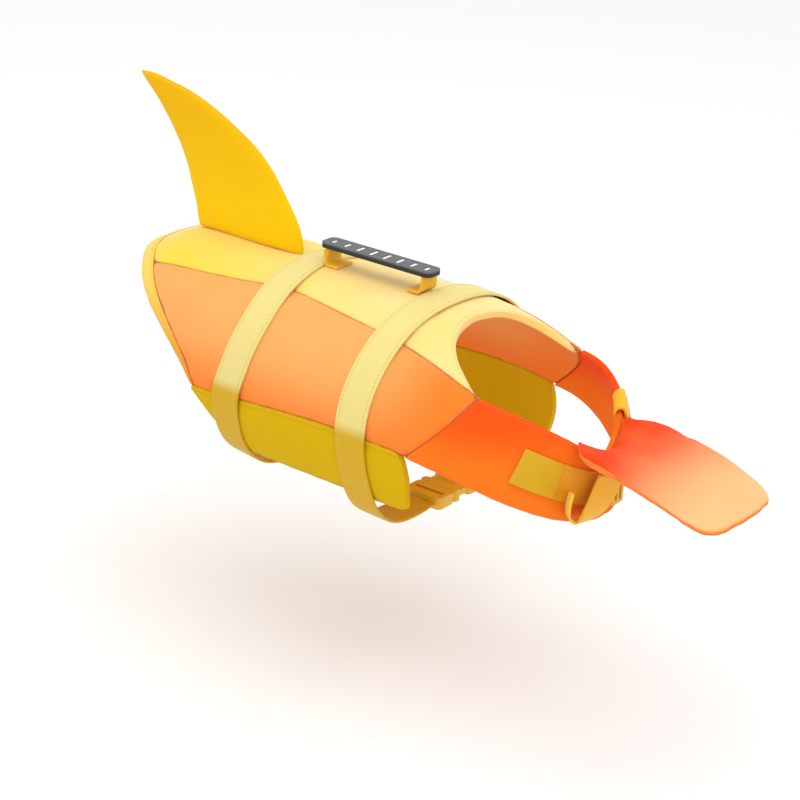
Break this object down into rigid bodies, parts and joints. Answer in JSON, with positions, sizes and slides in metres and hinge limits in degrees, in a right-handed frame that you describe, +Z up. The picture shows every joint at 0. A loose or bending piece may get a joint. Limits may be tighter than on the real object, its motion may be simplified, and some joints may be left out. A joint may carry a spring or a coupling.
{
  "type": "dog life jacket",
  "caption": "Dog's buoyancy jacket in orange and yellow cloth, with a dorsal fin, lifting handle, chin float and belly belts.",
  "frame": {"origin": "on the wearer's spine, on the inner face of the back panel, below the fin's front foot", "axes": "+X towards the neck, +Y to the wearer's left, +Z up"},
  "size_m": [0.564, 0.2114, 0.2639],
  "materials": {
    "cloth_yellow": "matt knit over foam",
    "cloth_orange": "matt knit over foam",
    "cloth_mustard": "matt knit over foam",
    "foam_yellow": "cloth-faced closed-cell foam",
    "webbing": "woven polyester webbing",
    "rubber_grip": "moulded, fine matt",
    "plastic": "moulded acetal"
  },
  "bodies": {
    "root": {"back_panel": "cloth_yellow", "rear_border": "cloth_yellow", "side_panel_right": "cloth_orange", "side_panel_left": "cloth_orange", "lower_panel_right": "cloth_mustard", "lower_panel_left": "cloth_mustard", "chest_band_right": "cloth_orange", "chest_band_left": "cloth_orange", "fin": "foam_yellow", "chin_float": "cloth_orange", "chest_strap": "webbing", "chest_strap_loop": "webbing", "neck_tab": "webbing", "chest_slider": "plastic", "belt_rear": "webbing", "belt_front": "webbing", "buckle_plug_rear": "plastic", "buckle_socket_rear": "plastic", "buckle_plug_front": "plastic", "buckle_socket_front": "plastic", "handle_webbing": "webbing", "handle_grip": "rubber_grip"}
  },
  "joints": []
}
